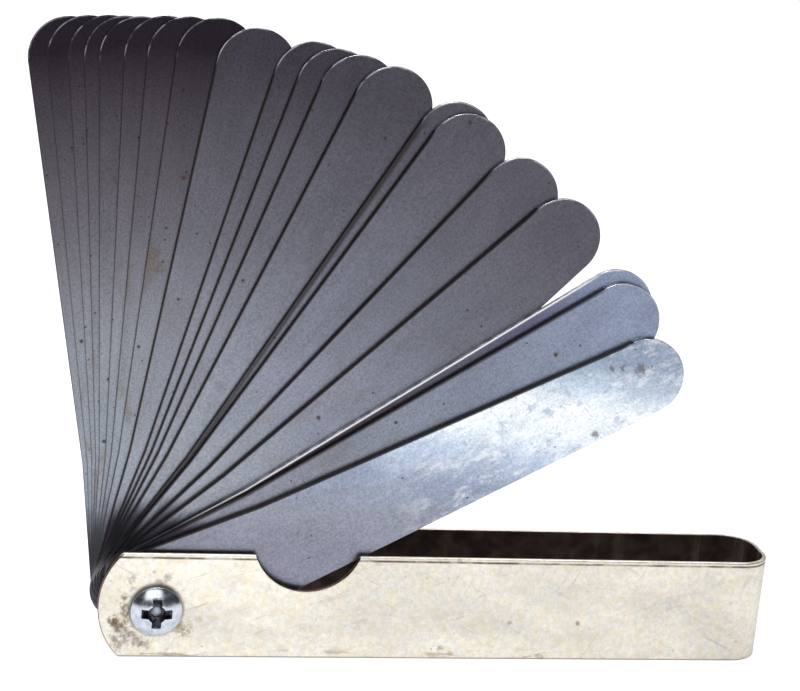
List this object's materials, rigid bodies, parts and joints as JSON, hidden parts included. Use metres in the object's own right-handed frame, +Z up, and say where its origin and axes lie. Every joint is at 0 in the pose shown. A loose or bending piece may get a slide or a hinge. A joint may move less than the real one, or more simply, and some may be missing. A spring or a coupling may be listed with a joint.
{
  "type": "feeler gauge",
  "caption": "Feeler gauge: a fan of tapered thickness leaves turning on one screw pivot, folding into a case bent from a steel strip.",
  "frame": {"origin": "on the lower edge of the case's front wall, at the middle of the wall's thickness, right below the pivot axis", "axes": "+X along the case from the pivot to the bend, +Y across the leaf stack from the screw head to the nut, +Z up from the long lower edge that the case stands on"},
  "size_m": [0.1269, 0.0222, 0.1011],
  "materials": {
    "nickel": "worn nickel plating, satin, with fine scratches and small stains",
    "leaf_steel": "blue-grey hardened spring steel, brushed lengthwise, with rust specks",
    "bright_leaf": "bright ground spring steel, brushed lengthwise, with scratches",
    "spring_steel": "dark spring steel",
    "zinc": "bright zinc plating"
  },
  "bodies": {
    "case": {"case_strip": "nickel", "pivot_screw": "zinc", "pivot_sleeve": "zinc", "front_washer": "zinc", "rear_washer": "zinc", "friction_spring": "spring_steel", "lock_washer": "zinc", "hex_nut": "zinc"},
    "leaf_005": {"leaf_005": "leaf_steel"},
    "leaf_010": {"leaf_010": "leaf_steel"},
    "leaf_015": {"leaf_015": "leaf_steel"},
    "leaf_020": {"leaf_020": "leaf_steel"},
    "leaf_025": {"leaf_025": "leaf_steel"},
    "leaf_030": {"leaf_030": "leaf_steel"},
    "leaf_035": {"leaf_035": "leaf_steel"},
    "leaf_040": {"leaf_040": "leaf_steel"},
    "leaf_045": {"leaf_045": "leaf_steel"},
    "leaf_050": {"leaf_050": "leaf_steel"},
    "leaf_055": {"leaf_055": "leaf_steel"},
    "leaf_060": {"leaf_060": "leaf_steel"},
    "leaf_065": {"leaf_065": "leaf_steel"},
    "leaf_070": {"leaf_070": "leaf_steel"},
    "leaf_075": {"leaf_075": "leaf_steel"},
    "leaf_080": {"leaf_080": "leaf_steel"},
    "leaf_085": {"leaf_085": "leaf_steel"},
    "leaf_090": {"leaf_090": "leaf_steel"},
    "leaf_095": {"leaf_095": "leaf_steel"},
    "leaf_100": {"leaf_100": "bright_leaf"}
  },
  "joints": [
    {"name": "leaf_005_turn", "type": "hinge", "parent": "case", "child": "leaf_005", "pos_m": [0, 0, 0.0081], "axis": [0, -1, 0], "range_deg": [-101.5, 78.5]},
    {"name": "leaf_010_turn", "type": "hinge", "parent": "case", "child": "leaf_010", "pos_m": [0, 0, 0.0081], "axis": [0, -1, 0], "range_deg": [-99.6, 80.4]},
    {"name": "leaf_015_turn", "type": "hinge", "parent": "case", "child": "leaf_015", "pos_m": [0, 0, 0.0081], "axis": [0, -1, 0], "range_deg": [-97.5, 82.5]},
    {"name": "leaf_020_turn", "type": "hinge", "parent": "case", "child": "leaf_020", "pos_m": [0, 0, 0.0081], "axis": [0, -1, 0], "range_deg": [-95.9, 84.1]},
    {"name": "leaf_025_turn", "type": "hinge", "parent": "case", "child": "leaf_025", "pos_m": [0, 0, 0.0081], "axis": [0, -1, 0], "range_deg": [-94.4, 85.6]},
    {"name": "leaf_030_turn", "type": "hinge", "parent": "case", "child": "leaf_030", "pos_m": [0, 0, 0.0081], "axis": [0, -1, 0], "range_deg": [-91.9, 88.1]},
    {"name": "leaf_035_turn", "type": "hinge", "parent": "case", "child": "leaf_035", "pos_m": [0, 0, 0.0081], "axis": [0, -1, 0], "range_deg": [-89.6, 90.4]},
    {"name": "leaf_040_turn", "type": "hinge", "parent": "case", "child": "leaf_040", "pos_m": [0, 0, 0.0081], "axis": [0, -1, 0], "range_deg": [-86.7, 93.3]},
    {"name": "leaf_045_turn", "type": "hinge", "parent": "case", "child": "leaf_045", "pos_m": [0, 0, 0.0081], "axis": [0, -1, 0], "range_deg": [-82.6, 97.4]},
    {"name": "leaf_050_turn", "type": "hinge", "parent": "case", "child": "leaf_050", "pos_m": [0, 0, 0.0081], "axis": [0, -1, 0], "range_deg": [-76.6, 103.4]},
    {"name": "leaf_055_turn", "type": "hinge", "parent": "case", "child": "leaf_055", "pos_m": [0, 0, 0.0081], "axis": [0, -1, 0], "range_deg": [-74.2, 105.8]},
    {"name": "leaf_060_turn", "type": "hinge", "parent": "case", "child": "leaf_060", "pos_m": [0, 0, 0.0081], "axis": [0, -1, 0], "range_deg": [-71.8, 108.2]},
    {"name": "leaf_065_turn", "type": "hinge", "parent": "case", "child": "leaf_065", "pos_m": [0, 0, 0.0081], "axis": [0, -1, 0], "range_deg": [-68.2, 111.8]},
    {"name": "leaf_070_turn", "type": "hinge", "parent": "case", "child": "leaf_070", "pos_m": [0, 0, 0.0081], "axis": [0, -1, 0], "range_deg": [-60.8, 119.2]},
    {"name": "leaf_075_turn", "type": "hinge", "parent": "case", "child": "leaf_075", "pos_m": [0, 0, 0.0081], "axis": [0, -1, 0], "range_deg": [-59.2, 120.8]},
    {"name": "leaf_080_turn", "type": "hinge", "parent": "case", "child": "leaf_080", "pos_m": [0, 0, 0.0081], "axis": [0, -1, 0], "range_deg": [-51.9, 128.1]},
    {"name": "leaf_085_turn", "type": "hinge", "parent": "case", "child": "leaf_085", "pos_m": [0, 0, 0.0081], "axis": [0, -1, 0], "range_deg": [-45.6, 134.4]},
    {"name": "leaf_090_turn", "type": "hinge", "parent": "case", "child": "leaf_090", "pos_m": [0, 0, 0.0081], "axis": [0, -1, 0], "range_deg": [-36, 144]},
    {"name": "leaf_095_turn", "type": "hinge", "parent": "case", "child": "leaf_095", "pos_m": [0, 0, 0.0081], "axis": [0, -1, 0], "range_deg": [-34.5, 145.5]},
    {"name": "leaf_100_turn", "type": "hinge", "parent": "case", "child": "leaf_100", "pos_m": [0, 0, 0.0081], "axis": [0, -1, 0], "range_deg": [-27.9, 152.1]}
  ]
}
